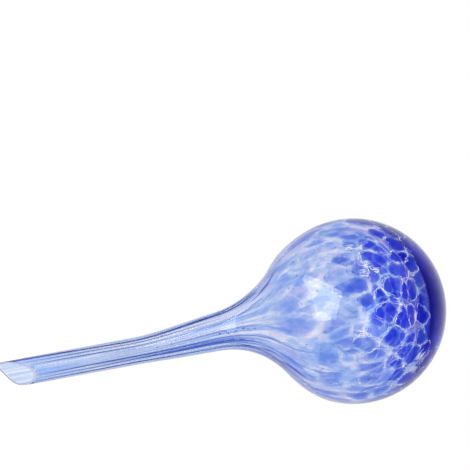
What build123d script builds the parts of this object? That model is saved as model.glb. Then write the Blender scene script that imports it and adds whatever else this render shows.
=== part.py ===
"""Watering globe: a hollow bulb of clear hand-blown glass, drawn out into a long open stem.

The clear wall is thick at the crown, thinner at the widest ring and thinnest at the shoulder.
Chips of cobalt glass are cased inside it, close to the air inside. They stay round at the crown,
and the draw that made the stem pulled them into long patches, then streaks. Nothing moves.

+Z is up, with the bulb above. The origin is on the axis at the soil line, the top of the straight
stretch of stem that is pushed into the soil. The mouth is cut on a slant and its longest side is
at +Y. Lengths are in millimetres and angles in degrees.
"""

import os
import random
from math import acos, atan2, cos, degrees, hypot, pi, radians, sin, sqrt, tan

from build123d import *

# Bulb
globe_radius = 40.0
globe_centre_height = 98.0
widest_wall = 3.4
crown_wall = 5.2

# Neck and stem
stem_radius = 5.85
stem_wall = 1.9
stem_taper_angle = 4.5
stem_bend_radius = 180.0
neck_bend_radius = 36.0
buried_length = 58.0
mouth_angle = 36.0

# Frit: the clear film between it and the air inside, its thickness, and the vein between chips
bubble_film_thickness = 0.4
chip_thickness = 0.45
streak_thickness = 0.4
vein_width = 0.9

# Frit: polar angle from the crown at which each zone of chips ends
crown_zone_end = 54.0
belt_zone_end = 88.0
patch_zone_end = 131.0

# Frit: width of a chip with its vein, its length along the draw as a share of that width, and the
# most that it may reach from its middle as a share of its width or length
crown_chip_width = 8.4
belt_chip_width = 9.0
patch_width = 8.8
crown_stretch_share = 1.0
belt_stretch_share = 1.35
patch_stretch_share = 1.5
reach_share = 0.58
scatter_share = 0.24
frit_seed = 11

# Streaks: how many, how wide, the shares of the bend at which the neck's start and end, and how far
# below the soil line the stem's end, every other one deeper
neck_streak_count = 10
neck_streak_width = 2.4
neck_streak_span_shares = (0.12, 0.95)
stem_streak_count = 8
stem_streak_width = 1.4
stem_streak_depths = (38.0, 17.0)
short_streak_share = 0.7
streak_gap = 1.0

# Reach of a cutting solid past the face that it cuts
overrun = 1.5

golden_angle = 180.0 * (3.0 - sqrt(5.0))
cavity_radius = globe_radius - widest_wall
cavity_centre_height = globe_centre_height - (crown_wall - widest_wall)
bore_radius = stem_radius - stem_wall
bed_radius = cavity_radius + bubble_film_thickness


class BlownOutline:
    """Half outline of blown glass: a bulb, a neck bend, a taper, a gentle bend and a stem.

    The places where its lines and arcs meet are worked out from the radii. Each point is given as
    its distance from the axis and its height.
    """

    def __init__(self, bulb, bulb_height, stem, bend, taper_bend):
        self.bulb, self.bulb_height, self.stem = bulb, bulb_height, stem
        self.bend, self.taper_bend = bend, taper_bend
        lean = radians(stem_taper_angle)

        # The taper's line meets the stem's so far up that the bend between them ends at the soil line
        self.knee_height = taper_bend * tan(lean / 2)
        self.taper_end = (
            stem + taper_bend * (1 - cos(lean)),
            taper_bend * sin(lean),
        )

        # The bend's centre is a bend away from the taper's line and from the bulb
        from_line = (stem + (bulb_height - self.knee_height) * tan(lean)) * cos(lean) + bend
        down_line = sqrt((bulb + bend) ** 2 - from_line**2)
        self.bend_centre = (
            from_line * cos(lean) - down_line * sin(lean),
            bulb_height - from_line * sin(lean) - down_line * cos(lean),
        )
        self.shoulder = (
            self.bend_centre[0] * bulb / (bulb + bend),
            bulb_height + (self.bend_centre[1] - bulb_height) * bulb / (bulb + bend),
        )
        self.throat = (
            self.bend_centre[0] - bend * cos(lean),
            self.bend_centre[1] + bend * sin(lean),
        )

    def solid(self):
        """The outline turned about the axis, down to a little past the end of the stem."""
        crown = (0, self.bulb_height + self.bulb)
        soil_line = (self.stem, 0)
        end = (self.stem, -buried_length - overrun)
        with BuildPart() as form:
            with BuildSketch(Plane.XZ):
                with BuildLine():
                    bulb_arc = TangentArc(crown, self.shoulder, tangent=(1, 0))
                    TangentArc(self.shoulder, self.throat, tangent=bulb_arc % 1)
                    taper = Line(self.throat, self.taper_end)
                    TangentArc(self.taper_end, soil_line, tangent=taper % 1)
                    Polyline(soil_line, end, (0, end[1]), crown)
                make_face()
            revolve(axis=Axis.Z)
        return form.part


class Seed:
    """A piece of frit on the first bubble: its zone, its place, and how far it was drawn."""

    def __init__(self, zone, polar, around, stretch):
        self.zone, self.polar, self.stretch = zone, polar, stretch
        self.normal = Vector(sin(polar) * cos(around), sin(polar) * sin(around), cos(polar))
        self.east = Vector(-sin(around), cos(around), 0)
        self.uphill = self.normal.cross(self.east)
        self.place = Vector(0, 0, cavity_centre_height) + self.normal * bed_radius


def scatter(zone, start, end, width, stretch, dice):
    """Seeds from one polar angle to another on a golden-angle spiral, each moved a little."""
    top, bottom = cos(radians(start)), cos(radians(end))
    count = round(2 * pi * bed_radius**2 * (top - bottom) / (stretch * width**2))
    seeds = []
    for turn in range(count):
        polar = acos(top - (turn + 0.5) / count * (top - bottom))
        polar += dice.uniform(-scatter_share, scatter_share) * width * stretch / bed_radius
        aside = dice.uniform(-scatter_share, scatter_share) * width
        around = radians(turn * golden_angle) + aside / (bed_radius * sin(polar))
        seeds.append(Seed(zone, polar, around, stretch))
    return seeds


def trimmed(outline, across, along, limit):
    """The part of a convex outline whose points p have across px + along py within a limit."""
    kept = []
    for start, end in zip(outline, outline[1:] + outline[:1]):
        over_start = across * start[0] + along * start[1] - limit
        over_end = across * end[0] + along * end[1] - limit
        if over_start <= 0:
            kept.append(start)
        if over_start * over_end < 0:
            share = over_start / (over_start - over_end)
            kept.append(tuple(p + (q - p) * share for p, q in zip(start, end)))
    return kept


def chip_outline(seed, seeds, width):
    """Ground in the seed's tangent plane that is nearer to it than to its neighbours, less a vein.

    Nearness is measured with lengths along the draw divided by the stretch, so drawn chips are
    long and narrow. The lowest chips stop at the end of their zone.
    """
    wide = width * reach_share
    tall = wide * seed.stretch
    low = min(tall, bed_radius * sin(radians(patch_zone_end) - seed.polar))
    outline = [(-wide, -low), (wide, -low), (wide, tall), (-wide, tall)]
    for other in seeds:
        apart = other.place - seed.place
        if other is seed or apart.length > 4 * tall:
            continue
        across = apart.dot(seed.east)
        along = apart.dot(seed.uphill)
        drawn = along / (seed.stretch * other.stretch)
        limit = (across**2 + along * drawn - vein_width * hypot(across, drawn)) / 2
        outline = trimmed(outline, across, drawn, limit)
    return outline


def frit_chips(zone, seeds, width):
    """The chips of one zone, each a flat piece lying on the first bubble's film of glass."""
    with BuildPart() as chips:
        for seed in seeds:
            if seed.zone == zone:
                with BuildSketch(Plane(seed.place, seed.east, seed.normal)):
                    Polygon(*chip_outline(seed, seeds, width), align=None)
        extrude(amount=chip_thickness, clean=False)
    return chips


def meridian_planes(count, first, step):
    """Planes through the axis, with X away from it and Y up, for some of an even ring."""
    turns = [radians(360 * number / count) for number in range(first, count, step)]
    return [Plane((0, 0, 0), (cos(turn), sin(turn), 0), (sin(turn), -cos(turn), 0)) for turn in turns]


outside = BlownOutline(
    globe_radius, globe_centre_height, stem_radius, neck_bend_radius, stem_bend_radius
)
inside = BlownOutline(
    cavity_radius,
    cavity_centre_height,
    bore_radius,
    neck_bend_radius + stem_wall,
    stem_bend_radius + stem_wall,
)

# Frit as it was picked up: one spiral for each zone, so that chips differ only by their draw
dice = random.Random(frit_seed)
seeds = scatter("crown", 0, crown_zone_end, crown_chip_width, crown_stretch_share, dice)
seeds += scatter("belt", crown_zone_end, belt_zone_end, belt_chip_width, belt_stretch_share, dice)
seeds += scatter("patch", belt_zone_end, patch_zone_end, patch_width, patch_stretch_share, dice)

# Cobalt chips packed over the crown
crown_chips = frit_chips("crown", seeds, crown_chip_width)
crown_chips.part.label = "crown_chips"

# Chips about the widest ring, a little longer than wide
belt_chips = frit_chips("belt", seeds, belt_chip_width)
belt_chips.part.label = "belt_chips"

# Pale patches on the lower half, pulled long towards the neck
drawn_patches = frit_chips("patch", seeds, patch_width)
drawn_patches.part.label = "drawn_patches"

# Streaks that follow the neck's bend, every other one shorter
bend_top = degrees(
    pi / 2 + atan2(inside.bend_centre[0], cavity_centre_height - inside.bend_centre[1])
)
bend_turn = 180 - stem_taper_angle - bend_top
streak_bed = inside.bend - bubble_film_thickness
with BuildPart() as neck_streaks:
    for first, length_share in ((0, 1), (1, short_streak_share)):
        start = bend_top + bend_turn * neck_streak_span_shares[0]
        turn = bend_turn * (neck_streak_span_shares[1] - neck_streak_span_shares[0]) * length_share
        with BuildSketch(*meridian_planes(neck_streak_count, first, 2)):
            with BuildLine():
                under = CenterArc(inside.bend_centre, streak_bed, start, turn)
                over = CenterArc(inside.bend_centre, streak_bed - streak_thickness, start, turn)
                Line(under @ 0, over @ 0)
                Line(under @ 1, over @ 1)
            make_face()
    extrude(amount=neck_streak_width / 2, both=True, clean=False)
neck_streaks.part.label = "neck_streaks"

# The finest streaks, from the top of the taper to well down the stem, every other one shorter
taper_out = Vector(cos(radians(stem_taper_angle)), -sin(radians(stem_taper_angle)))
taper_down = Vector(-sin(radians(stem_taper_angle)), -cos(radians(stem_taper_angle)))
streak_top = Vector(*inside.throat) + taper_out * bubble_film_thickness + taper_down * streak_gap
streak_knee = Vector(bore_radius + bubble_film_thickness, inside.knee_height)
stem_out = Vector(streak_thickness, 0)
with BuildPart() as stem_streaks:
    for first, depth in enumerate(stem_streak_depths):
        foot = Vector(streak_knee.X, -depth)
        bed_side = (streak_top, streak_knee, foot)
        wall_side = (foot + stem_out, streak_knee + stem_out, streak_top + taper_out * streak_thickness)
        with BuildSketch(*meridian_planes(stem_streak_count, first, 2)):
            Polygon(*bed_side, *wall_side, align=None)
    extrude(amount=stem_streak_width / 2, both=True, clean=False)
stem_streaks.part.label = "stem_streaks"

# The slanted cut through the stem's end, square to the plane X = 0
mouth = Plane(
    origin=(0, stem_radius, -buried_length),
    x_dir=(1, 0, 0),
    z_dir=(0, -cos(radians(mouth_angle)), -sin(radians(mouth_angle))),
)

# Clear wall: bulb, neck and stem in one, closed round every piece of frit
frit = (crown_chips, belt_chips, drawn_patches, neck_streaks, stem_streaks)
with BuildPart() as glass_body:
    add(outside.solid())
    add(inside.solid(), mode=Mode.SUBTRACT)
    split(bisect_by=mouth, keep=Keep.BOTTOM)
    for chips in frit:
        add(chips.part, mode=Mode.SUBTRACT, clean=False)
glass_body.part.label = "glass_body"

os.makedirs("parts", exist_ok=True)
for piece in (glass_body, *frit):
    export_step(piece.part, f"parts/{piece.part.label}.step")
    print(piece.part.label, len(piece.solids()), "solids", round(piece.part.volume, 1), "mm3")
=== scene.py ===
"""Watering globe of hand-blown glass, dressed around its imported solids.

The part's own frame has +Z up the stem into the bulb and its origin at the soil line. The clear wall
is one closed surface of revolution. Frit, the crushed cobalt glass that was picked up on the hot
bubble, lies inside the wall, close to the air: packed chips at the crown, drawn out into patches and
then into streaks towards the mouth. Crazed veins, froth and air seeds lie with it.

Shapes are worked out as grids of points in millimetres and kept in metres. A place on the frit's bed
is a length down from the crown and an angle about Z.
"""

import bpy
import numpy as np
from mathutils import Matrix, Vector


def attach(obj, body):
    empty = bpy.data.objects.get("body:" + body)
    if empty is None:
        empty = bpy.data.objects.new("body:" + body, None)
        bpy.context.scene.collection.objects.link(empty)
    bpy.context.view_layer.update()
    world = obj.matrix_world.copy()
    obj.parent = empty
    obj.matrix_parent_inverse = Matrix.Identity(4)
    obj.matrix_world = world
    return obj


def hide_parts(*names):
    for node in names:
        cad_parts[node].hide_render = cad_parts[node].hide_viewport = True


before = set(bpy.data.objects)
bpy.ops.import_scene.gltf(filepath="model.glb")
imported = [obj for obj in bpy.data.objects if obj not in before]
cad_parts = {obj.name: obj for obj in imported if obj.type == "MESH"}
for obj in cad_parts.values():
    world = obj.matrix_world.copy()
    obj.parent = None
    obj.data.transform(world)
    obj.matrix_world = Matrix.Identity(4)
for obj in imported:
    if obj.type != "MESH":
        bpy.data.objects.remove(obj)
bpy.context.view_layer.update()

MM = 0.001
GOLDEN_ANGLE = np.pi * (3 - np.sqrt(5))
rng = np.random.default_rng(7)

# The blown wall in millimetres, as the solids have it
BULB_RADIUS, BULB_HEIGHT = 40.0, 98.0
CAVITY_RADIUS, CAVITY_HEIGHT = 36.6, 96.2
STEM_RADIUS, BORE_RADIUS = 5.85, 3.95
WALL = STEM_RADIUS - BORE_RADIUS
NECK_BEND, TAPER_BEND = 36.0, 180.0
TAPER_ANGLE = np.radians(4.5)
TIP_DEPTH = 58.0
CUT_SLOPE = np.tan(np.radians(54))

# What the hand left: the bore at the mouth, where the wall runs out thin, and half that wall's width,
# how hollow the slanted cut is, and how far the neck bows sideways
MOUTH_BORE = 5.1
LIP = (STEM_RADIUS - MOUTH_BORE) / 2
CUT_HOLLOW = 1.36
BOW = 2.4
# Extra glass gathered at the crown, and the polar angle at which none of it is left
GATHER, GATHER_ANGLE = 2.9, np.radians(82)

# The clear film between the frit's bed and the air, and how far short of the cut the frit ends
FILM, SHORT_OF_CUT = 0.4, 0.75
# Heights above the bed of the chips' under faces, with the least thickness of a chip, and of the
# middles of what lies over them
CHIP_LIFT, LEAST_CHIP = 0.04, 0.01
STREAK_LIFT, VEIN_LIFT, SPECK_LIFT, SEED_LIFT = 0.45, 0.55, 0.7, 0.9
BUTTON_LIFT, CAP_LIFT = 0.7, 1.3
# Depths under the bed of the two faces of the smeared film
FILM_DEPTHS = 0.1, 0.25

# Points round a ring of the wall
WALL_COLUMNS = 192

# The photograph looks along LOOK, with the stem's axis lying across it and SIDE pointing up in it
AZIMUTH, TILT = np.radians(30), np.radians(10.42)
LOOK = np.array([np.sin(AZIMUTH), np.cos(AZIMUTH), 0.0])
SIDE = np.array([-np.cos(AZIMUTH), np.sin(AZIMUTH), 0.0])
AXIS = np.array([0.0, 0.0, 1.0])
# Angle about Z of the side that faces the photograph's camera
FRONT = np.arctan2(-LOOK[1], -LOOK[0])


# Shapes


def eased(value, low, high):
    """0 below low, 1 above high and a smooth rise between."""
    t = np.clip((value - low) / (high - low), 0, 1)
    return t * t * (3 - 2 * t)


def around(count):
    """Even angles once round, the last one a step short of the first."""
    return np.linspace(0, 2 * np.pi, count, endpoint=False)


def outline(bulb_radius, bulb_height, stem_radius, neck_bend, taper_bend, samples=400):
    """Radius and height down one side of a blown form, from its crown to the tip of its stem.

    A circle of bulb_radius runs into a circle of neck_bend that touches it from outside, then into a
    straight taper, a shallow circle of taper_bend that ends at height 0, and a straight stem. The
    neck's middle lies neck_bend out from the taper's line, and so far up it that it is as far from
    the bulb's middle as the two radii together.
    """
    up = np.array([np.sin(TAPER_ANGLE), np.cos(TAPER_ANGLE)])
    out = np.array([np.cos(TAPER_ANGLE), -np.sin(TAPER_ANGLE)])
    foot = np.array([stem_radius + taper_bend * (1 - out[0]), taper_bend * up[0]])
    reach = foot + neck_bend * out - np.array([0.0, bulb_height])
    square = (reach @ up) ** 2 - reach @ reach + (bulb_radius + neck_bend) ** 2
    bend = foot + (-reach @ up - np.sqrt(square)) * up + neck_bend * out
    turn = np.linspace(0, np.arctan2(bend[0], bend[1] - bulb_height), samples)
    ball = np.stack([bulb_radius * np.sin(turn), bulb_height + bulb_radius * np.cos(turn)], 1)
    turn = np.linspace(np.arctan2(bulb_height - bend[1], -bend[0]), np.pi - TAPER_ANGLE, samples)[1:]
    neck = bend + neck_bend * np.stack([np.cos(turn), np.sin(turn)], 1)
    turn = np.linspace(np.pi - TAPER_ANGLE, np.pi, samples // 4)
    knee = [stem_radius + taper_bend, 0] + taper_bend * np.stack([np.cos(turn), np.sin(turn)], 1)
    return np.concatenate([ball, neck, knee, [[stem_radius, -TIP_DEPTH]]])


def lengths(line):
    """How far along a line of points each one lies."""
    return np.concatenate([[0], np.cumsum(np.hypot(*np.diff(line, axis=0).T))])


def along(line, at):
    """Points of a line at the given lengths along it."""
    run = lengths(line)
    return np.stack([np.interp(at, run, line[:, k]) for k in range(line.shape[1])], -1)


def neck_bow(z):
    """How far the middle line bows sideways at a height: it rises smoothly to BOW below the bulb."""
    return BOW * eased(z, 2, 54) * (1 - eased(z, 54, 82))


def revolved(radius, height, turn):
    """Points at a radius, a height and an angle about Z, carried sideways by neck_bow, in metres."""
    radius, height, turn = np.broadcast_arrays(radius, height, turn)
    points = np.stack([radius * np.cos(turn), radius * np.sin(turn), height], -1)
    return (points + neck_bow(height)[..., None] * SIDE) * MM


def cut_height(radius, turn):
    """Height of the slanted mouth at a radius and angle: lowest at +Y, rising evenly to -Y.

    The hand's cut is a little hollow: it stands back at the side that faces FRONT and the one behind.
    """
    hollow = CUT_HOLLOW * np.cos(2 * (turn - FRONT)) * radius / STEM_RADIUS
    return -TIP_DEPTH + (STEM_RADIUS - radius * np.sin(turn)) * CUT_SLOPE + hollow


def wound(rows, columns):
    """Faces of a grid of rows that close round on themselves."""
    start, ring = np.arange(rows - 1)[:, None] * columns, np.arange(columns)[None, :]
    a, b = start + ring, start + (ring + 1) % columns
    return np.stack([a, a + columns, b + columns, b], -1).reshape(-1, 4)


def closing(rows, columns):
    """Faces that join the last row of such a grid to its first."""
    ring = np.arange(columns)
    ahead, last = (ring + 1) % columns, (rows - 1) * columns
    return np.stack([last + ring, ring, ahead, last + ahead], -1)


def poles(rows, columns):
    """Fans of faces from such a grid's first and last rows to the two points that come after it."""
    count, ring = rows * columns, np.arange(columns)
    ahead, last = (ring + 1) % columns, count - columns
    first = np.stack([np.full(columns, count), ring, ahead], -1)
    return first, np.stack([np.full(columns, count + 1), last + ahead, last + ring], -1)


def waves(points, wavelength, count=16):
    """A smooth random field, mostly -1 to 1: plane waves of one wavelength, added and scaled down."""
    way = rng.normal(size=(count, 3))
    way *= 2 * np.pi / wavelength / np.linalg.norm(way, axis=1, keepdims=True)
    phase = rng.uniform(0, 2 * np.pi, count)
    return sum(np.sin(points @ w + p) for w, p in zip(way, phase)) * np.sqrt(2 / count) / 1.6


def piece(name, points, faces, material, slot, **values):
    """A smooth-shaded mesh object on the body, with its finish and its points' values. The slot is not
    used.
    """
    mesh = bpy.data.meshes.new(name)
    points = np.asarray(points).reshape(-1, 3)
    mesh.from_pydata(points.tolist(), [], sum((np.asarray(part).tolist() for part in faces), []))
    for label, value in values.items():
        flat = np.asarray(value, dtype=np.float32)
        vector = flat.shape[-1] == 3 and flat.size == 3 * len(points)
        layer = mesh.attributes.new(label, "FLOAT_VECTOR" if vector else "FLOAT", "POINT")
        layer.data.foreach_set("vector" if vector else "value", flat.ravel())
    mesh.shade_smooth()
    mesh.materials.append(material)
    thing = bpy.data.objects.new(name, mesh)
    bpy.context.scene.collection.objects.link(thing)
    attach(thing, "root")
    return thing


# Finishes

WHITE = (1.0, 1.0, 1.0, 1.0)


def linear(code):
    """An sRGB hex colour as the linear values that shaders read."""
    srgb = np.array([int(code[k:k + 2], 16) for k in (1, 3, 5)]) / 255
    return (*np.where(srgb <= 0.04045, srgb / 12.92, ((srgb + 0.055) / 1.055) ** 2.4).tolist(), 1.0)


def add(tree, kind, links=(), inputs=(), **settings):
    """Adds a node with its settings, sets (input, value) pairs and links (input, output) pairs."""
    node = tree.nodes.new(kind)
    for key, value in settings.items():
        setattr(node, key, value)
    for entry, value in inputs:
        node.inputs[entry].default_value = value
    for entry, source in links:
        tree.links.new(source, node.inputs[entry])
    return node


def finish_of(name):
    """A material with an empty node tree and its output."""
    material = bpy.data.materials.new(name)
    material.use_nodes = True
    material.node_tree.nodes.clear()
    return material, material.node_tree, add(material.node_tree, "ShaderNodeOutputMaterial")


def fade(node, stops):
    """Sets a Color Ramp's stops from (place, linear colour) pairs."""
    elements = node.color_ramp.elements
    while len(elements) > 1:
        elements.remove(elements[-1])
    elements[0].position, elements[0].color = stops[0][0], (*stops[0][1][:3], 1.0)
    for place, colour in stops[1:]:
        elements.new(place).color = (*colour[:3], 1.0)


def soda_lime_glass():
    """Soda-lime glass, blown and fire-polished: clear and very smooth, with lavender in its depth.

    Where the wall turns away, the sight line runs along inside it; painted edge shade darkens it
    there.
    """
    material, tree, out = finish_of("blown_soda_lime_glass_painted_edge_shade")
    # Painted edge shade: the colour goes dark violet where the surface turns away from the view
    turned = add(tree, "ShaderNodeLayerWeight", inputs=[("Blend", 0.5)])
    edge = add(tree, "ShaderNodeValToRGB", [("Fac", turned.outputs["Facing"])])
    fade(edge, [(0.0, WHITE), (0.64, WHITE), (0.82, linear("#bcbce8")), (0.95, linear("#585698"))])
    glass = add(tree, "ShaderNodeBsdfPrincipled", [("Base Color", edge.outputs["Color"])],
                [("Transmission Weight", 1.0), ("IOR", 1.5), ("Roughness", 0.0)])
    depth = add(tree, "ShaderNodeVolumeAbsorption",
                inputs=[("Color", linear("#c0b4f8")), ("Density", 14.0)])
    tree.links.new(glass.outputs[0], out.inputs["Surface"])
    tree.links.new(depth.outputs[0], out.inputs["Volume"])
    return material


# What one face of cobalt glass passes at depth 1, worked out from thin glass and from thick glass,
# and the deepest that a chip gets
THIN_COBALT, THICK_COBALT, DEEPEST = "#abc8f4", "#999ef7", 1.8


def frit_glass(name, mottle, grain, thin=THIN_COBALT, thick=THICK_COBALT):
    """Cobalt frit melted into the wall: it only tints what is seen through it, most where it is thick.

    A face passes a colour to the power of the depth kept on its points, as thicker glass does. The
    colour goes from that of thin glass to that of thick at depth 1, and the ramp runs to DEEPEST.
    Clouds grain millimetres across take up to the share mottle off the depth.
    """
    material, tree, out = finish_of(name)
    place = add(tree, "ShaderNodeTexCoord")
    cloud = add(tree, "ShaderNodeTexNoise", [("Vector", place.outputs["Object"])],
                [("Scale", 1 / (grain * MM)), ("Detail", 3.0)])
    swing = add(tree, "ShaderNodeMapRange", [("Value", cloud.outputs["Fac"])],
                [("From Min", 0.3), ("From Max", 0.7),
                 ("To Min", (1 - mottle) / DEEPEST), ("To Max", 1 / DEEPEST)])
    depth = add(tree, "ShaderNodeAttribute", attribute_name="depth")
    deep = add(tree, "ShaderNodeMath", [(0, depth.outputs["Fac"]), (1, swing.outputs[0])],
               operation="MULTIPLY")
    tint = add(tree, "ShaderNodeValToRGB", [("Fac", deep.outputs[0])])
    thin, thick = np.log(linear(thin)[:3]), np.log(linear(thick)[:3])
    depths = np.array([0.0, 0.1, 0.25, 0.4, 0.6, 0.8, 1.0]) * DEEPEST
    fade(tint, [(d / DEEPEST, np.exp(d * (thin + (thick - thin) * min(d, 1)))) for d in depths])
    seen = add(tree, "ShaderNodeBsdfTransparent", [("Color", tint.outputs["Color"])])
    tree.links.new(seen.outputs[0], out.inputs["Surface"])
    return material


def cap_glass():
    """The first gather at the crown, a cap of deep cobalt glass: it turns what it covers violet."""
    material, tree, out = finish_of("violet_cobalt_cap")
    depth = add(tree, "ShaderNodeAttribute", attribute_name="depth")
    tint = add(tree, "ShaderNodeMix", [("Factor", depth.outputs["Fac"])],
               [(6, WHITE), (7, linear("#fbe5f4"))], data_type="RGBA")
    seen = add(tree, "ShaderNodeBsdfTransparent", [("Color", tint.outputs[2])])
    tree.links.new(seen.outputs[0], out.inputs["Surface"])
    return material


def film_glass():
    """Frit melted away to a film: pale blue, milky rose where it is thinnest, all in long draws.

    Broad and fine noise run along the flow kept on the points, whose unit is the bulb's radius across
    the draw: draws about 9 and 3 mm wide on the bulb, and as much finer as the neck is narrower. The
    share of the fine ones is kept as fineness, and haze turns all of them bluer.
    """
    material, tree, out = finish_of("smeared_blue_film")
    draw = add(tree, "ShaderNodeAttribute", attribute_name="flow")
    broad = add(tree, "ShaderNodeTexNoise", [("Vector", draw.outputs["Vector"])],
                [("Scale", 4.0), ("Detail", 3.0)])
    fine = add(tree, "ShaderNodeTexNoise", [("Vector", draw.outputs["Vector"])],
               [("Scale", 13.0), ("Detail", 2.0)])
    share = add(tree, "ShaderNodeAttribute", attribute_name="fineness")
    mixed = add(tree, "ShaderNodeMath",
                [(0, fine.outputs["Fac"]), (1, share.outputs["Fac"]), (2, broad.outputs["Fac"])],
                operation="MULTIPLY_ADD")
    haze = add(tree, "ShaderNodeAttribute", attribute_name="haze")
    mixed = add(tree, "ShaderNodeMath", [(0, mixed.outputs[0]), (1, haze.outputs["Fac"])],
                operation="ADD")
    tint = add(tree, "ShaderNodeValToRGB", [("Fac", mixed.outputs[0])])
    stops = (0.64, "#fcf9fd"), (0.81, "#f3f6fd"), (0.93, "#e9f0fc"), (1.0, "#dce8fb")
    fade(tint, [(place, linear(code)) for place, code in stops])
    seen = add(tree, "ShaderNodeBsdfTransparent", [("Color", tint.outputs["Color"])])
    tree.links.new(seen.outputs[0], out.inputs["Surface"])
    return material


def crazed_glass_painted_glow():
    """Crazed glass between chips: hair cracks and fine froth that scatter white; their glints are a
    painted glow.
    """
    material, tree, out = finish_of("crazed_glass_painted_glow")
    froth = add(tree, "ShaderNodeBsdfPrincipled", inputs=[
        ("Base Color", linear("#fbfcff")), ("Roughness", 0.3),
        # Painted glow: a faint emission that stands in for the threads' glints
        ("Emission Color", linear("#f2f4ff")), ("Emission Strength", 0.3)])
    tree.links.new(froth.outputs[0], out.inputs["Surface"])
    return material


def painted_shade_speck():
    """Painted shade: glossy, nearly black specks that stand in for the dark rims of air seeds."""
    material, tree, out = finish_of("painted_bubble_shade_speck")
    speck = add(tree, "ShaderNodeBsdfPrincipled",
                inputs=[("Base Color", linear("#23255e")), ("Roughness", 0.15)])
    tree.links.new(speck.outputs[0], out.inputs["Surface"])
    return material


def ground_glass():
    """Ground glass: a fine matt face that scatters light and shows a little blue of what is behind."""
    material, tree, out = finish_of("ground_glass")
    face = add(tree, "ShaderNodeBsdfPrincipled",
               inputs=[("Base Color", linear("#ccd4f2")), ("Roughness", 0.55)])
    tree.links.new(face.outputs[0], out.inputs["Surface"])
    return material


def air_glass():
    """Air shut in the glass: a bubble bends light the other way, into a dark ring round a glint."""
    material, tree, out = finish_of("shut_in_air")
    bubble = add(tree, "ShaderNodeBsdfGlass",
                 inputs=[("Color", WHITE), ("Roughness", 0.0), ("IOR", 1 / 1.5)])
    tree.links.new(bubble.outputs[0], out.inputs["Surface"])
    return material


# Clear wall

outer_line = outline(BULB_RADIUS, BULB_HEIGHT, STEM_RADIUS, NECK_BEND, TAPER_BEND)
inner_line = outline(CAVITY_RADIUS, CAVITY_HEIGHT, BORE_RADIUS, NECK_BEND + WALL, TAPER_BEND + WALL)
polar = np.arctan2(inner_line[:, 0], inner_line[:, 1] - CAVITY_HEIGHT)
inner_line[-1, 0] = MOUTH_BORE
heap = GATHER * np.cos(np.clip(polar / GATHER_ANGLE, 0, 1) * np.pi / 2) ** 2
inner_line = inner_line - heap[:, None] * np.stack([np.sin(polar), np.cos(polar)], -1)

rib_count = rng.integers(3, 10, 9)
rib_phase = rng.uniform(0, 2 * np.pi, 9)


def ribs(turn, height):
    """Shallow ribs that the draw left inside neck and stem: waves round Z added up, none in the bulb.

    They wind slowly about Z, and are 0.03 mm high in the stem and 0.08 mm in the neck.
    """
    wave = sum(np.sin(n * turn + p + 0.008 * height) for n, p in zip(rib_count, rib_phase)) / 3
    return wave * (0.03 + 0.05 * eased(height, 2, 36)) * (1 - eased(height, 44, 66))


def blown_wall():
    """The clear wall: down the outside, round the lip, and back up the bore to the crown.

    Every row is a ring about Z. On the straight stem the rows' heights are shares of the cut's height
    at each angle, so they lean into the slant, and the lip is half a circle across the wall.
    """
    turn = around(WALL_COLUMNS)
    down = along(outer_line, np.linspace(0, lengths(outer_line)[-2], 190)[1:])
    up = along(inner_line, np.linspace(0, lengths(inner_line)[-2], 170)[:0:-1])
    share = np.linspace(0, 1, 24)[1:, None]
    arc = np.linspace(0, np.pi, 9)[1:-1, None]
    lip = STEM_RADIUS - LIP + LIP * np.cos(arc)
    bore = BORE_RADIUS + (MOUTH_BORE - BORE_RADIUS) * share[::-1]
    rings = np.concatenate([
        revolved(down[:, :1], down[:, 1:], turn),
        revolved(STEM_RADIUS, (cut_height(STEM_RADIUS, turn) + LIP) * share, turn),
        revolved(lip, cut_height(lip, turn) + LIP * (1 - np.sin(arc)), turn),
        revolved(bore + ribs(turn, 0), (cut_height(MOUTH_BORE, turn) + LIP) * share[::-1], turn),
        revolved(up[:, :1] + ribs(turn, up[:, 1:]), up[:, 1:], turn)])
    tops = np.array([[0, 0, outer_line[0, 1]], [0, 0, inner_line[0, 1]]]) * MM
    rows = len(rings)
    faces = (wound(rows, WALL_COLUMNS), *poles(rows, WALL_COLUMNS))
    return np.concatenate([rings.reshape(-1, 3), tops]), faces


clear_wall = piece("blown_wall", *blown_wall(), soda_lime_glass(), "clear_glass")
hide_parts("glass_body")


def ground_lip():
    """The ground face of the cut, with its broken edges: a thin skin over the wall's half round lip.

    Its section is two arcs about the lip's middle, out just above the lip and back just inside it.
    """
    turn = around(WALL_COLUMNS)
    arc = np.linspace(-0.1, np.pi + 0.1, 9)
    radius = LIP + np.repeat([0.03, -0.12], len(arc))[:, None]
    arc = np.concatenate([arc, arc[::-1]])[:, None]
    ring = STEM_RADIUS - LIP + radius * np.cos(arc)
    points = revolved(ring, cut_height(ring, turn) + LIP - radius * np.sin(arc), turn)
    return points, (wound(len(arc), WALL_COLUMNS), closing(len(arc), WALL_COLUMNS))


piece("ground_lip", *ground_lip(), ground_glass(), "clear_glass")

# The frit's bed

inner_run = lengths(inner_line)
slope = np.gradient(inner_line, inner_run, axis=0)
bed_line = inner_line + FILM * np.stack([-slope[:, 1], slope[:, 0]], -1)
bed_run = lengths(bed_line)
bed_radius = CAVITY_RADIUS + FILM


def bed(at, turn, lift=0.0):
    """Points on the frit's bed at a length from the crown and an angle about Z, raised by lift.

    A negative length passes over the crown. Below the soil line the heights shrink by a share that
    follows the slanted cut round the stem.
    """
    turn = np.where(at < 0, turn + np.pi, turn)
    at = np.abs(at)
    spot = along(bed_line, at)
    way = np.stack([np.interp(at, bed_run, slope[:, k]) for k in range(2)], -1)
    height = spot[..., 1] + lift * way[..., 0]
    share = -(cut_height(MOUTH_BORE, turn) + SHORT_OF_CUT) / TIP_DEPTH
    height = np.where(height < 0, height * share, height)
    return revolved(spot[..., 0] - lift * way[..., 1], height, turn)


def bed_width(at):
    """Radius of the bed at a length from the crown, never so small that a chip wraps the pole."""
    return np.clip(along(bed_line, np.abs(at))[..., 0], 1.0, None)


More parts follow.
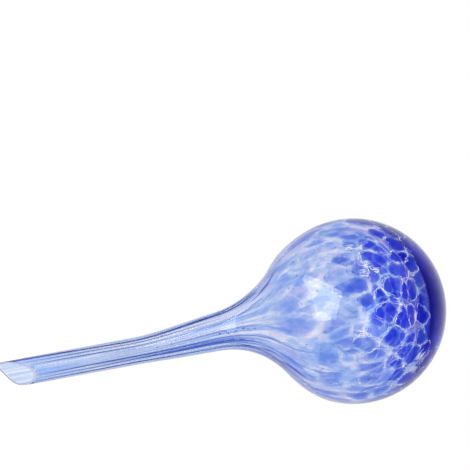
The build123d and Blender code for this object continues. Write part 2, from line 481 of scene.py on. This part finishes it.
def run_to(z):
    """Length from the crown to the bed's points at a height below the bulb's middle."""
    return np.interp(-np.asarray(z, float), -bed_line[:, 1], bed_run)


def run_at(degrees):
    """Length from the crown to the bed's points at a polar angle of the bulb."""
    return np.radians(degrees) * bed_radius


# Chips and patches

# Polar angles in degrees at which the zones end: round chips at the crown, longer ones, and patches
CROWN_END, BELT_END, PATCHES_END = 54, 88, 134

# A chip's width, and how much longer than wide it is, from the crown down to the last patch
reach = np.linspace(0, run_at(PATCHES_END), 2000)
angle = np.degrees(reach / bed_radius)
chip_width = 6.4 + 1.0 * eased(angle, 40, 70) + 0.8 * eased(angle, 75, 100)
stretch = 1.0 + 0.35 * eased(angle, 40, 70) + 0.75 * eased(angle, 72, 104)
# The chips' middles go down a spiral of golden angles, with one chip to each cell's area, and are
# then shaken by a share of a chip's width
SHAKE = 0.4
density = 2 * np.pi * along(bed_line, reach)[:, 0] / (chip_width ** 2 * stretch)
total = np.concatenate([[0], np.cumsum((density[1:] + density[:-1]) / 2 * np.diff(reach))])
count = int(total[-1])
seed_at = np.interp(np.arange(count) + 0.5, total, reach)
seed_width = np.interp(seed_at, reach, chip_width)
seed_stretch = np.interp(seed_at, reach, stretch)
seed_at = seed_at + rng.uniform(-SHAKE, SHAKE, count) * seed_width * seed_stretch
seed_at = np.clip(seed_at, 1.5, None)
seed_turn = rng.uniform(-SHAKE, SHAKE, count) * seed_width / bed_width(seed_at)
seed_turn = np.arange(count) * GOLDEN_ANGLE + seed_turn
seed_angle = np.degrees(seed_at / bed_radius)

# Bigger chips push their neighbours back: each chip's greed, and the most that it moves a halfway line
greed, GREED = rng.uniform(-1, 1, count), 0.14

# A chip's face is a grid of spokes and rings; the rings' shares of the reach crowd towards the rim
SPOKES = 20
RINGS = np.array([0.0, 0.4, 0.75, 0.92, 1.0])
spoke = around(SPOKES)

# Chips farther apart than this, in millimetres, are no neighbours
NEIGHBOURS = 34


def cell_reach(corner):
    """How far each chip reaches along each spoke: the soft least of its halfway lines to the others.

    A halfway line lies at half the square of the gap over the gap's part along the spoke, or at more
    of it where a chip is greedier than its neighbour. The soft least sums the inverse distances to the
    power corner, so a high one leaves sharp corners. Lengths down the bed count less by the stretch.
    """
    middle = bed(seed_at, seed_turn) / MM
    south = bed(seed_at + 0.01, seed_turn) / MM - middle
    south /= np.linalg.norm(south, axis=1, keepdims=True)
    east = np.stack([-np.sin(seed_turn), np.cos(seed_turn), 0 * seed_turn], -1)
    gap = middle[None] - middle[:, None]
    x = np.einsum("ijk,ik->ij", gap, east)
    y = np.einsum("ijk,ik->ij", gap, south) / seed_stretch[:, None]
    far = (np.linalg.norm(gap, axis=-1) > NEIGHBOURS) | np.eye(count, dtype=bool)
    share = 0.5 + GREED * (greed[:, None] - greed[None, :])
    square = np.where(far, 1e9, x * x + y * y)
    toward = x[..., None] * np.cos(spoke) + y[..., None] * np.sin(spoke)
    inverse = toward / (square * share)[..., None]
    power = corner[:, None]
    return (np.clip(inverse, 1e-6, None) ** power[..., None]).sum(1) ** (-1 / power)


# Crown chips have sharp corners and drawn ones round, a wobble makes each outline its own, and none
# reaches past about three quarters of a chip's width
cell = cell_reach(14 - 7 * eased(seed_angle, 40, 70) - 2 * eased(seed_angle, 75, 100))
wobble = rng.uniform(0, 2 * np.pi, (2, count, 1))
cell = cell * (1 + 0.07 * np.sin(3 * spoke + wobble[0]) + 0.05 * np.sin(5 * spoke + wobble[1]))
cell = np.minimum(cell, 0.78 * seed_width[:, None])

# How deep each chip's colour is: deepest in a ring round the crown, and paler down the draw, where
# the chips also differ more
level = 0.8 + 0.35 * eased(seed_angle, 22, 38)
level -= 0.62 * eased(seed_angle, 48, 84)
level -= 0.1 * eased(seed_angle, 84, 112)
level *= rng.uniform(0.6 - 0.35 * eased(seed_angle, 60, 90), 1.0)
# Which chips are there: one in ten is missing at the belt, and two in ten below it
missing = 0.1 * eased(seed_angle, 52, 66) + 0.1 * eased(seed_angle, 72, 100)
kept = rng.uniform(0, 1, count) > missing


def kept_between(low, high):
    """Which seeds are kept and lie between two polar angles."""
    return (seed_angle >= low) & (seed_angle < high) & kept


def chips_between(low, high, gap, crisp, thickness):
    """Lens-shaped chips between two polar angles: points, faces and the depth kept on each point.

    A chip's face is a polar grid round its middle, shrunk by the gap, but at the crown, where the
    chips have run together, grown until they overlap. Its depth falls from the middle to the rim as
    1 - share ** crisp, and by less at the crown. The under face lies flat and the upper one above it.
    """
    here = kept_between(low, high)
    at, turn, pull = seed_at[here, None, None], seed_turn[here, None, None], seed_stretch[here, None]
    apart = eased(seed_angle[here], 20, 36)[:, None]
    overlap = 0.4 * (1 - apart)
    size = np.clip(cell[here] - gap * apart + overlap, 0.3, None)
    x = RINGS[:, None] * (size * np.cos(spoke))[:, None, :]
    run = at + RINGS[:, None] * (size * np.sin(spoke) * pull)[:, None, :]
    near_pole = seed_angle[here, None, None] < 25
    swing = turn + x / bed_width(np.where(near_pole, at, run))
    fall = (0.3 + 0.7 * apart) * RINGS ** crisp
    depth = (level[here][:, None] * (1 - fall))[..., None] + 0 * x
    upper = bed(run, swing, CHIP_LIFT + LEAST_CHIP + thickness * depth)
    points = np.stack([upper, bed(run, swing, CHIP_LIFT)], 1)
    n, rings = len(at), len(RINGS)
    index = np.arange(n * 2 * rings * SPOKES).reshape(n, 2, rings, SPOKES)
    ahead = np.roll(index, -1, axis=-1)
    hub = np.broadcast_to(index[:, :, :1, 0], (n, 2, SPOKES))
    upper = np.stack([index[:, 0, 1:-1], index[:, 0, 2:], ahead[:, 0, 2:], ahead[:, 0, 1:-1]], -1)
    under = np.stack([index[:, 1, 1:-1], ahead[:, 1, 1:-1], ahead[:, 1, 2:], index[:, 1, 2:]], -1)
    rim = np.stack([index[:, 0, -1], index[:, 1, -1], ahead[:, 1, -1], ahead[:, 0, -1]], -1)
    cap = np.stack([hub[:, 0], index[:, 0, 1], ahead[:, 0, 1]], -1)
    base = np.stack([hub[:, 1], ahead[:, 1, 1], index[:, 1, 1]], -1)
    faces = [part.reshape(-1, part.shape[-1]) for part in (upper, under, rim, cap, base)]
    return points, faces, np.stack([depth, depth], 1)


points, faces, depths = chips_between(0, CROWN_END, gap=0.14, crisp=9.0, thickness=0.45)
finish = frit_glass("cobalt_frit", mottle=0.35, grain=2.0)
chips = piece("cobalt_chips", points, faces, finish, "cobalt_glass", depth=depths)
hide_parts("crown_chips")
points, faces, depths = chips_between(CROWN_END, BELT_END, gap=0.25, crisp=6.0, thickness=0.5)
finish = frit_glass("melted_blue_frit", mottle=0.3, grain=2.5)
chips = piece("blue_chips", points, faces, finish, "blue_glass", depth=depths)
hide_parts("belt_chips")
points, faces, depths = chips_between(BELT_END, 180.0, gap=0.6, crisp=4.0, thickness=0.5)
finish = frit_glass("drawn_blue_frit", mottle=0.3, grain=10 / 3)
chips = piece("pale_patches", points, faces, finish, "pale_glass", depth=depths)
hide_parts("drawn_patches")

# Crazed veins, froth and air


def veins(thick, low, high, shift):
    """Threads of crazed glass round each chip's outline, moved out by shift: a small square section.

    A thread is fat where a random field over the bulb is high and at the chip's corners, and thins out
    to a hair elsewhere, so veins gather in some places and leave others. Waves 2.6 and 1.2 mm long
    crinkle it. The field's waves are 16, 4.5 and 1.8 mm long, and fewer threads are fat on the crown
    and on the drawn patches than at the belt.
    """
    here = kept_between(low, high)
    at, turn, pull = seed_at[here, None], seed_turn[here, None], seed_stretch[here, None]
    n, steps, sides = len(at), 96, 4
    way, section = around(steps), around(sides)
    whole = np.append(spoke, 2 * np.pi)
    loop = np.stack([np.interp(way, whole, np.append(row, row[0])) for row in cell[here] + shift])
    corner = np.clip((loop / loop.mean(1, keepdims=True) - 1.02) / 0.15, 0, 1)
    swing = turn + loop * np.cos(way) / bed_width(at)
    middle = bed(at + loop * np.sin(way) * pull, swing) / MM
    loop = loop + 0.26 * waves(middle, 2.6) + 0.16 * waves(middle, 1.2)
    field = waves(middle, 16.0) + 0.9 * waves(middle, 4.5) + 0.7 * waves(middle, 1.8)
    fewer = 0.25 - 0.25 * eased(seed_angle[here], 44, 54) + 0.5 * eased(seed_angle[here], 76, 96)
    strong = np.clip(field + 0.7 * corner - 0.2 - fewer[:, None], 0, 1.4)
    fat = (thick * strong * rng.uniform(0.3, 1.6, (n, steps)) + 0.003)[..., None]
    out = loop[..., None] + fat * np.cos(section)
    run = at[..., None] + out * np.sin(way)[:, None] * pull[..., None]
    swing = turn[..., None] + out * np.cos(way)[:, None] / bed_width(run)
    points = bed(run, swing, VEIN_LIFT + fat * np.sin(section))
    index = np.arange(n * steps * sides).reshape(n, steps, sides)
    ahead, beside = np.roll(index, -1, axis=1), np.roll(index, -1, axis=2)
    both = np.roll(ahead, -1, axis=2)
    return points, [np.stack([index, ahead, both, beside], -1).reshape(-1, 4)]


def ribbons(start, end, turn, half, drift, level, thickness, rows=30, widest=4.0):
    """Drawn streaks: flat lens sections carried down the wall, tapering to a point at both ends.

    Round the section the width goes as a cosine and the thickness as a sine; along the streak both
    follow the root of a sine. The width is an angle about Z, so a streak narrows with the stem, and is
    held to widest, in millimetres, where it runs out on to the bulb.
    """
    sides = 8
    section = around(sides)
    t = np.linspace(0.004, 0.996, rows)[:, None]
    taper = np.sin(np.pi * t) ** 0.5
    start, end, turn, half, drift, level = (
        value[:, None, None] for value in (start, end, turn, half, drift, level))
    run = start + (end - start) * t + 0 * section
    wander = drift * np.sin(1.6 * np.pi * t + 3 * turn)
    swing = turn + wander + np.minimum(half, widest / bed_width(run)) * taper * np.cos(section)
    bulge = np.sin(section) * taper
    points = bed(run, swing, STREAK_LIFT + thickness * bulge * np.clip(level, 0.3, 1))
    index = np.arange(len(start) * rows * sides).reshape(-1, rows, sides)
    beside = np.roll(index, -1, axis=-1)
    sheet = np.stack([index[:, :-1], index[:, 1:], beside[:, 1:], beside[:, :-1]], -1)
    faces = sheet.reshape(-1, 4), index[:, 0], index[:, -1, ::-1]
    return points, faces, level * np.abs(bulge)


def froth_strands():
    """Fine strands of froth, 0.4 mm apart, side by side in clusters scattered about the belt."""
    clusters, strands = 30, 9
    count = clusters * strands
    at = np.repeat(run_at(rng.uniform(42, 92, clusters)), strands)
    turn = np.repeat(rng.uniform(0, 2 * np.pi, clusters), strands)
    order = np.tile(np.arange(strands) - strands / 2, clusters)
    size = np.repeat(rng.uniform(0.4, 1.2, clusters), strands)
    start = at + rng.uniform(-2.2, 0.2, count) * size
    turn = turn + (order * 0.42 * size + rng.normal(0, 0.12, count)) / bed_width(at)
    end = start + rng.uniform(1.6, 5.2, count) * size
    drift = rng.uniform(-0.5, 0.5, count) / bed_width(at)
    half = 0.11 / bed_width(at)
    return ribbons(start, end, turn, half, drift, np.ones(count), thickness=0.1, rows=12)


# The veins, hairs and froth share one white finish, with a painted glow for their glints
crazing_with_painted_glow = crazed_glass_painted_glow()
points, faces = veins(thick=0.11, low=34, high=112, shift=0.0)
piece("crazed_veins", points, faces, crazing_with_painted_glow, "clear_glass")
points, faces = veins(thick=0.075, low=36, high=84, shift=-0.5)
piece("crazed_hairs", points, faces, crazing_with_painted_glow, "clear_glass")
points, faces, _ = froth_strands()
piece("froth_grain", points, faces, crazing_with_painted_glow, "clear_glass")


def beads(at, turn, size, lift, squeeze):
    """Small closed globes in the wall, longer along the draw by squeeze: rings about their middles."""
    rings, sides = 6, 8
    down, ring = np.linspace(0, np.pi, rings)[:, None], around(sides)
    across, tall = np.sin(down) * np.cos(ring), np.sin(down) * np.sin(ring)
    at, turn, size, squeeze = (value[:, None, None] for value in (at, turn, size, squeeze))
    run = at + size * squeeze * np.cos(down) + 0 * across
    points = bed(run, turn + size * across / bed_width(at), lift + size * tall)
    index = np.arange(len(at) * rings * sides).reshape(-1, rings, sides)
    beside = np.roll(index, -1, axis=-1)
    sheet = np.stack([index[:, :-1], beside[:, :-1], beside[:, 1:], index[:, 1:]], -1)
    return points, [sheet.reshape(-1, 4)]


def seeds():
    """Air seeds: bubbles strewn over the bulb below its crown, and half as many in the neck."""
    on_bulb, in_neck = 150, 75
    at = run_at(rng.uniform(45, 128, on_bulb))
    at = np.concatenate([at, run_to(rng.uniform(10, 62, in_neck))])
    turn = rng.uniform(0, 2 * np.pi, len(at))
    size = rng.uniform(0.12, 0.3, len(at))
    return beads(at, turn, size, SEED_LIFT, rng.uniform(1.0, 2.0, len(at)))


def specks():
    """Painted shade for seeds' dark rims: dark specks strewn over the bulb, a dozen in a row up the
    neck's front.
    """
    count, row = 44, 12
    at = run_at(rng.uniform(50, 125, count))
    turn = rng.uniform(0, 2 * np.pi, count)
    at[:row] = run_to(np.linspace(40, 55, row) + rng.normal(0, 0.7, row))
    turn[:row] = FRONT + rng.normal(0.1, 0.06, row)
    size = rng.uniform(0.14, 0.27, count)
    return beads(at, turn, size, SPECK_LIFT, rng.uniform(1.0, 1.8, count))


points, faces = seeds()
piece("air_seeds", points, faces, air_glass(), "clear_glass")
# Nearly black beads as painted shade for the dark rims of air seeds
points, faces = specks()
piece("dark_specks", points, faces, painted_shade_speck(), "cobalt_glass")

# Film and streaks


def blue_film():
    """The colour that the draw smeared thin over the inside, from the bulb's side to the mouth.

    A closed skin under the bed: rows of rings down to the mouth and back a little deeper. Its flow is
    the cosine and sine of the angle, and a pace that grows with the length times the radius, so that
    draws run out long in the stem. The fine ones fade there, and haze makes up for them.
    """
    rows, columns = 150, 128
    at, turn = np.meshgrid(np.linspace(run_at(30), bed_run[-1], rows), around(columns), indexing="ij")
    runs, turns = np.concatenate([at, at[::-1]]), np.concatenate([turn, turn])
    points = bed(runs, turns, -np.repeat(FILM_DEPTHS, rows)[:, None])
    pace = np.diff(bed_run) * np.clip(bed_line[1:, 0], 4, 40) / 2000
    pace = np.concatenate([[0], np.cumsum(pace)])
    flow = np.stack([np.cos(turns), np.sin(turns), np.interp(runs, bed_run, pace)], -1)
    fineness = 0.75 - 0.5 * eased(runs, run_to(62), run_to(20))
    haze = (0.75 - fineness) / 2 + 0.05 * eased(runs, run_to(-15), run_to(-45))
    haze += 0.04 * eased(runs, run_to(-45), run_to(-54))
    faces = wound(rows * 2, columns), closing(rows * 2, columns)
    return points, faces, flow, fineness, haze


def neck_streaks():
    """Streaks down the neck: some scattered round it, and the ones on the side that faces FRONT."""
    count = 56
    turn = np.arange(count) * GOLDEN_ANGLE + rng.uniform(-0.1, 0.1, count)
    half = rng.uniform(0.015, 0.09, count)
    strong = rng.uniform(0.02, 0.2, count) + 0.45 * (rng.uniform(0, 1, count) > 0.8)
    start, end = run_to(rng.uniform(44, 84, count)), run_to(rng.uniform(-30, 30, count))
    # Dark lines close together along the lower flare
    dark, lines = slice(0, 12), 12
    turn[dark] = FRONT + np.linspace(0.75, 1.5, lines) + rng.normal(0, 0.03, lines)
    half[dark], strong[dark] = rng.uniform(0.01, 0.022, lines), rng.uniform(0.5, 1.3, lines)
    start[dark], end[dark] = run_to(rng.uniform(62, 82, lines)), run_to(rng.uniform(20, 50, lines))
    # Painted edge shade: short dark draws where the flare turns away on both sides, so that its edges
    # look dark
    edge_shade = slice(12, 18)
    turn[edge_shade] = FRONT + np.array([-1.0, -0.9, -1.12, 0.95, 1.1, 0.82])
    half[edge_shade], strong[edge_shade] = 0.04, 0.8
    start[edge_shade] = run_to([72, 66, 60, 74, 70, 66])
    end[edge_shade] = run_to([60, 54, 48, 62, 58, 56])
    # The azure band along the lower third, two wide streaks that run on down the stem
    band = slice(18, 20)
    turn[band], half[band], strong[band] = FRONT + np.array([0.5, 0.6]), 0.15, (0.55, 0.5)
    start[band], end[band] = run_to([63, 60]), run_to([-25, 2])
    drift = rng.uniform(-0.08, 0.08, count)
    drift[band] = 0
    return ribbons(start, end, turn, half, drift, strong, thickness=0.25)


def stem_streaks():
    """Streaks down the stem: faint ones round it, and slate lines on the side that faces FRONT.

    The slate lines lie beside the azure band and along the upper side, and run on to the mouth.
    """
    count = 46
    turn = np.arange(count) * GOLDEN_ANGLE + 1.0
    half = rng.uniform(0.03, 0.11, count)
    strong = rng.uniform(0.02, 0.08, count)
    start, end = run_to(rng.uniform(5, 44, count)), run_to(rng.uniform(-57, -20, count))
    drift = rng.uniform(-0.04, 0.04, count)
    slate = slice(0, 7)
    turn[slate] = FRONT + np.array([0.4, 0.67, 1.03, -1.06, -0.74, -0.46, -0.1])
    half[slate] = 0.055, 0.05, 0.07, 0.07, 0.05, 0.045, 0.03
    strong[slate] = 1.0, 0.8, 1.1, 1.2, 0.9, 0.8, 0.25
    start[slate], end[slate] = run_to([40, 56, 50, 60, 44, 20, 50]), run_to(-57.6)
    drift[slate] = 0
    return ribbons(start, end, turn, half, drift, strong, thickness=0.25)


def hairs():
    """White hairs of crazed glass between the streaks, four of them wider and down to the mouth."""
    count = 26
    turn = np.arange(count) * GOLDEN_ANGLE + 0.4
    start, end = run_to(rng.uniform(26, 84, count)), run_to(rng.uniform(-57, 20, count))
    half = rng.uniform(0.008, 0.022, count)
    wide = slice(0, 4)
    turn[wide] = FRONT + np.array([-0.88, -0.6, 0.83, 0.53])
    half[wide], end[wide] = 0.045, run_to(-57.5)
    drift = rng.uniform(-0.06, 0.06, count)
    return ribbons(start, end, turn, half, drift, np.ones(count), thickness=0.05, widest=0.13)


points, faces, flow, fineness, haze = blue_film()
piece("smeared_film", points, faces, film_glass(), "pale_glass",
      flow=flow, fineness=fineness, haze=haze)
points, faces, depths = neck_streaks()
finish = frit_glass("drawn_streak_frit", mottle=0.2, grain=5.0, thin="#aac4ee", thick="#98a2dc")
draws = piece("neck_draws", points, faces, finish, "streak_glass", depth=depths)
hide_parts("neck_streaks")
points, faces, depths = stem_streaks()
finish = frit_glass("slate_blue_line_frit", mottle=0.2, grain=5.0, thin="#a8b8de", thick="#909bbe")
draws = piece("stem_draws", points, faces, finish, "line_glass", depth=depths)
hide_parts("stem_streaks")
points, faces, _ = hairs()
piece("white_hairs", points, faces, crazing_with_painted_glow, "clear_glass")

# The cap at the crown


def crown_lens(reach, fade_from, lift):
    """A closed lens over the crown inside the wall: rings about Z out to reach and back just below.

    Its depth is 1 in the middle and falls smoothly from fade_from to nothing short of its rim. Both
    are lengths from the crown.
    """
    rings, columns, rim, thickness = 26, 72, 3.0, 0.05
    at = np.concatenate([np.linspace(0.2, reach, rings), np.linspace(reach, 0.2, rings)[1:]])
    rise = np.repeat([lift, lift - thickness], [rings, rings - 1])
    points = bed(at[:, None], around(columns)[None, :], rise[:, None])
    tops = [[0, 0, points[0, 0, 2]], [0, 0, points[-1, 0, 2]]]
    depth = np.repeat(1 - eased(at, fade_from, reach - rim), columns)
    faces = (wound(len(at), columns), *poles(len(at), columns))
    return np.concatenate([points.reshape(-1, 3), tops]), faces, np.append(depth, [1, 1])


points, faces, depths = crown_lens(reach=23.5, fade_from=12.5, lift=CAP_LIFT)
piece("violet_cap", points, faces, cap_glass(), "cobalt_glass", depth=depths)
# A button of cobalt glass in its middle, so that no pale glass shows between the chips there
points, faces, depths = crown_lens(reach=13.5, fade_from=4.0, lift=BUTTON_LIFT)
finish = frit_glass("cobalt_button", mottle=0.35, grain=2.0)
piece("crown_button", points, faces, finish, "cobalt_glass", depth=depths * 0.8)

# Camera, floor and light

# In metres: how wide a stretch the photograph shows at the bulb, where its middle lies from the
# bulb's, to the right and up, and how far off the camera is
FRAME_WIDTH = 0.20246
FRAME_RIGHT, FRAME_UP = -0.05096, 0.03278
DISTANCE = 1.2
SENSOR_WIDTH = 36.0
image_right = np.cos(TILT) * AXIS - np.sin(TILT) * SIDE
image_up = np.sin(TILT) * AXIS + np.cos(TILT) * SIDE
bulb_middle = AXIS * BULB_HEIGHT * MM


def in_view(right, up, back):
    """A direction or distance given along the photograph's right and up and towards its camera."""
    return right * image_right + up * image_up - back * LOOK


def placed(thing, right, up, back, place):
    """Puts a camera or lamp at a place, with its own X, Y and Z along the three directions given."""
    turned = Matrix((Vector(right), Vector(up), Vector(back))).transposed().to_4x4()
    thing.matrix_world = Matrix.Translation(Vector(place)) @ turned
    bpy.context.scene.collection.objects.link(thing)
    return thing


lens = bpy.data.cameras.new("camera")
lens.sensor_width = SENSOR_WIDTH
lens.lens = SENSOR_WIDTH * DISTANCE / FRAME_WIDTH
camera = placed(bpy.data.objects.new("camera", lens), image_right, image_up, -LOOK,
                bulb_middle + in_view(FRAME_RIGHT, FRAME_UP, DISTANCE))
bpy.context.scene.camera = camera

# The softbox stands half a metre from the bulb, at the camera's left, and is turned half away, so
# that its far side looks shorter: its size and its place from the bulb's middle in metres, and the
# ways that its back and its top point. Its energy is its brightness times pi and its area.
SOFTBOX_SIZE, SOFTBOX_BRIGHTNESS = (0.592, 0.417), 4.2
SOFTBOX_PLACE = -0.347, 0.104, 0.39
SOFTBOX_BACK, SOFTBOX_TOP = (-0.891, 0.262, 0.37), (0.259, 0.964, -0.062)
softbox = bpy.data.lights.new("softbox", "AREA")
softbox.shape = "RECTANGLE"
softbox.size, softbox.size_y = SOFTBOX_SIZE
softbox.energy = SOFTBOX_BRIGHTNESS * np.pi * softbox.size * softbox.size_y
back = in_view(*SOFTBOX_BACK)
across = np.cross(in_view(*SOFTBOX_TOP), back)
across /= np.linalg.norm(across)
lamp = placed(bpy.data.objects.new("softbox", softbox), across, np.cross(back, across), back,
              bulb_middle + in_view(*SOFTBOX_PLACE))
lamp.visible_camera = False


def white_studio():
    """A white studio: plain white where the camera sees it, and shaded where the glass shows it.

    Mirrored, it is bright behind the object and dim on the camera's side. Through the glass it is
    white, and darker overhead. Matt faces get an even light.
    """
    world = bpy.data.worlds.new("white_studio")
    world.use_nodes = True
    tree = world.node_tree
    tree.nodes.clear()
    ray = add(tree, "ShaderNodeLightPath")
    way = add(tree, "ShaderNodeTexCoord")
    behind = add(tree, "ShaderNodeVectorMath", [(0, way.outputs["Generated"])], [(1, LOOK)],
                 operation="DOT_PRODUCT")
    mirrored = add(tree, "ShaderNodeMapRange", [("Value", behind.outputs["Value"])],
                   [("From Min", 0.3), ("From Max", 1.15), ("To Min", 0.12), ("To Max", 1.0)],
                   interpolation_type="SMOOTHSTEP")
    above = add(tree, "ShaderNodeSeparateXYZ", [("Vector", way.outputs["Generated"])])
    through = add(tree, "ShaderNodeMapRange", [("Value", above.outputs["Z"])],
                  [("From Min", 0.5), ("From Max", 0.9), ("To Min", 1.0), ("To Max", 0.6)],
                  interpolation_type="SMOOTHSTEP")
    lit = add(tree, "ShaderNodeMix", [(0, ray.outputs["Is Glossy Ray"]), (3, mirrored.outputs[0])],
              [(2, 0.88)])
    lit = add(tree, "ShaderNodeMix",
              [(0, ray.outputs["Is Transmission Ray"]), (2, lit.outputs[0]), (3, through.outputs[0])])
    lit = add(tree, "ShaderNodeMath", [(0, lit.outputs[0]), (1, ray.outputs["Is Camera Ray"])],
              operation="MAXIMUM")
    sky = add(tree, "ShaderNodeBackground", [("Strength", lit.outputs[0])], [("Color", WHITE)])
    add(tree, "ShaderNodeOutputWorld", [("Surface", sky.outputs[0])])
    return world


def white_floor():
    """Matt white paper under the tip, which fades out to the white round it.

    To the camera it glows by a quarter of white, so that it looks as bright as what is round it.
    """
    material, tree, out = finish_of("matt_white_paper")
    sheet = add(tree, "ShaderNodeBsdfDiffuse", inputs=[("Color", linear("#fafafb"))])
    place = add(tree, "ShaderNodeTexCoord")
    reach = add(tree, "ShaderNodeVectorMath", [(0, place.outputs["Object"])], operation="LENGTH")
    edge = add(tree, "ShaderNodeMapRange", [("Value", reach.outputs["Value"])],
               [("From Min", 0.05), ("From Max", 0.09), ("To Min", 0.0)],
               interpolation_type="SMOOTHSTEP")
    bright = add(tree, "ShaderNodeEmission", inputs=[("Strength", 1.0)])
    both = add(tree, "ShaderNodeMixShader",
               [(0, edge.outputs[0]), (1, sheet.outputs[0]), (2, bright.outputs[0])])
    ray = add(tree, "ShaderNodeLightPath")
    share = add(tree, "ShaderNodeMath", [(0, ray.outputs["Is Camera Ray"])], [(1, 0.25)],
                operation="MULTIPLY")
    glow = add(tree, "ShaderNodeEmission", [("Strength", share.outputs[0])])
    whole = add(tree, "ShaderNodeAddShader", [(0, both.outputs[0]), (1, glow.outputs[0])])
    tree.links.new(whole.outputs[0], out.inputs["Surface"])
    return material


# The floor is a round sheet, in metres, just under the tip
FLOOR_RADIUS, FLOOR_HEIGHT, FLOOR_SIDES = 0.16, -0.0586, 96
turn = around(FLOOR_SIDES)
rim = np.stack([FLOOR_RADIUS * np.cos(turn), FLOOR_RADIUS * np.sin(turn), 0 * turn + FLOOR_HEIGHT], -1)
mesh = bpy.data.meshes.new("floor")
mesh.from_pydata(rim.tolist(), [], [list(range(FLOOR_SIDES))])
mesh.materials.append(white_floor())
floor = bpy.data.objects.new("floor", mesh)
bpy.context.scene.collection.objects.link(floor)

scene = bpy.context.scene
scene.world = white_studio()
scene.view_settings.view_transform = "Standard"
# Light that is mirrored along inside the wall, and tinted again and again, needs many bounces
scene.cycles.max_bounces = 32
scene.cycles.transmission_bounces = 24
scene.cycles.glossy_bounces = 24
scene.cycles.transparent_max_bounces = 256
